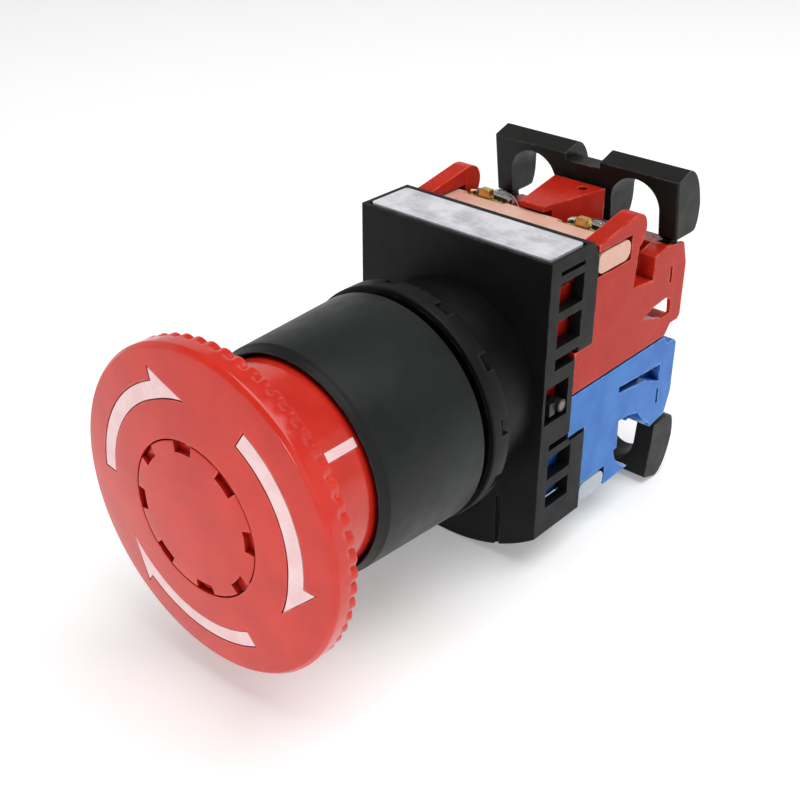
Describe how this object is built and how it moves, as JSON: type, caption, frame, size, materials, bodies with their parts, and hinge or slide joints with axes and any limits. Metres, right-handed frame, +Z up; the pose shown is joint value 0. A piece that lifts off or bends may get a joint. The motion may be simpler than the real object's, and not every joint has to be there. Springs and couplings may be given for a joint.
{
  "type": "emergency stop button",
  "caption": "Red mushroom emergency stop button for a panel hole, push to lock and turn to release, with stacked contact blocks and hinged terminal covers.",
  "frame": {"origin": "centre of the 22 mm panel hole, on the panel's front face", "axes": "+Y into the panel along the button's axis, +Z up towards the label, +X to the right seen from the front"},
  "size_m": [0.04, 0.079, 0.0477],
  "materials": {
    "signal_red": "semi-gloss moulded plastic",
    "pale_ink": "pale pink inlay",
    "black_plastic": "satin moulded plastic",
    "cover_plastic": "satin moulded plastic, slightly worn",
    "gasket_rubber": "matt rubber",
    "label_foil": "brushed silver-white foil, blank",
    "natural_plastic": "natural moulded plastic",
    "red_block": "glossy, slightly translucent red plastic",
    "blue_block": "glossy, slightly translucent blue plastic",
    "cream_plastic": "cream plastic",
    "clear_plastic": "cloudy clear plastic",
    "brass": "plain brass",
    "zinc_steel": "zinc-plated steel"
  },
  "bodies": {
    "base": {"operator_body": "black_plastic", "panel_gasket": "gasket_rubber", "ring_nut": "black_plastic", "adaptor_housing": "black_plastic", "label_plate": "label_foil", "return_spring": "zinc_steel", "nc_block_casing": "red_block", "nc_terminal_base": "cream_plastic", "nc_guide_plate": "natural_plastic", "nc_contact_spring": "zinc_steel", "nc_terminal_a": "brass", "nc_terminal_b": "brass", "nc_saddle_washer_a": "zinc_steel", "nc_saddle_washer_b": "zinc_steel", "nc_terminal_screw_a": "zinc_steel", "nc_terminal_screw_b": "zinc_steel", "no_block_casing": "blue_block", "no_terminal_base": "clear_plastic", "no_guide_plate": "natural_plastic", "no_contact_spring": "zinc_steel", "no_terminal_a": "brass", "no_terminal_b": "brass", "no_saddle_washer_a": "zinc_steel", "no_saddle_washer_b": "zinc_steel", "no_terminal_screw_a": "zinc_steel", "no_terminal_screw_b": "zinc_steel"},
    "stem": {"push_rod": "natural_plastic", "latch_cross_pin": "zinc_steel", "contact_pusher": "natural_plastic", "retainer_clip": "zinc_steel"},
    "head": {"mushroom_head": "signal_red", "centre_cap": "signal_red", "direction_arrow_1": "pale_ink", "direction_arrow_2": "pale_ink", "direction_arrow_3": "pale_ink", "position_mark": "pale_ink", "twist_spring": "zinc_steel"},
    "nc_moving_contact": {"nc_plunger": "natural_plastic", "nc_contact_bridge": "brass"},
    "no_moving_contact": {"no_plunger": "natural_plastic", "no_contact_bridge": "brass"},
    "upper_cover": {"upper_terminal_cover": "cover_plastic"},
    "lower_cover": {"lower_terminal_cover": "cover_plastic"},
    "lever": {"lock_lever": "black_plastic"}
  },
  "joints": [
    {"name": "push", "type": "slide", "parent": "base", "child": "stem", "axis": [0, 1, 0], "range_m": [0, 0.0055], "stiffness_N_per_m": 1200, "springref_m": -0.004, "deforming": ["return_spring"]},
    {"name": "twist_to_release", "type": "hinge", "parent": "stem", "child": "head", "pos_m": [0, 0, 0], "axis": [0, 1, 0], "range_deg": [0, 45], "stiffness_Nm_per_rad": 0.05, "springref_deg": -20.05, "deforming": ["twist_spring"]},
    {"name": "nc_plunger_slide", "type": "slide", "parent": "base", "child": "nc_moving_contact", "axis": [0, 1, 0], "range_m": [0, 0.0055], "deforming": ["nc_contact_spring"]},
    {"name": "no_plunger_slide", "type": "slide", "parent": "base", "child": "no_moving_contact", "axis": [0, 1, 0], "range_m": [0, 0.0055], "deforming": ["no_contact_spring"]},
    {"name": "upper_cover_hinge", "type": "hinge", "parent": "base", "child": "upper_cover", "pos_m": [0, 0.0426, 0.0106], "axis": [-1, 0, 0], "range_deg": [0, 85]},
    {"name": "lower_cover_hinge", "type": "hinge", "parent": "base", "child": "lower_cover", "pos_m": [0, 0.0426, -0.0118], "axis": [1, 0, 0], "range_deg": [0, 85]},
    {"name": "lock_lever_turn", "type": "hinge", "parent": "base", "child": "lever", "pos_m": [0, 0, 0], "axis": [0, -1, 0], "range_deg": [0, 8]}
  ],
  "couplings": [
    {"joint": "nc_plunger_slide", "follows": "push", "ratio": 1},
    {"joint": "no_plunger_slide", "follows": "push", "ratio": 1}
  ]
}
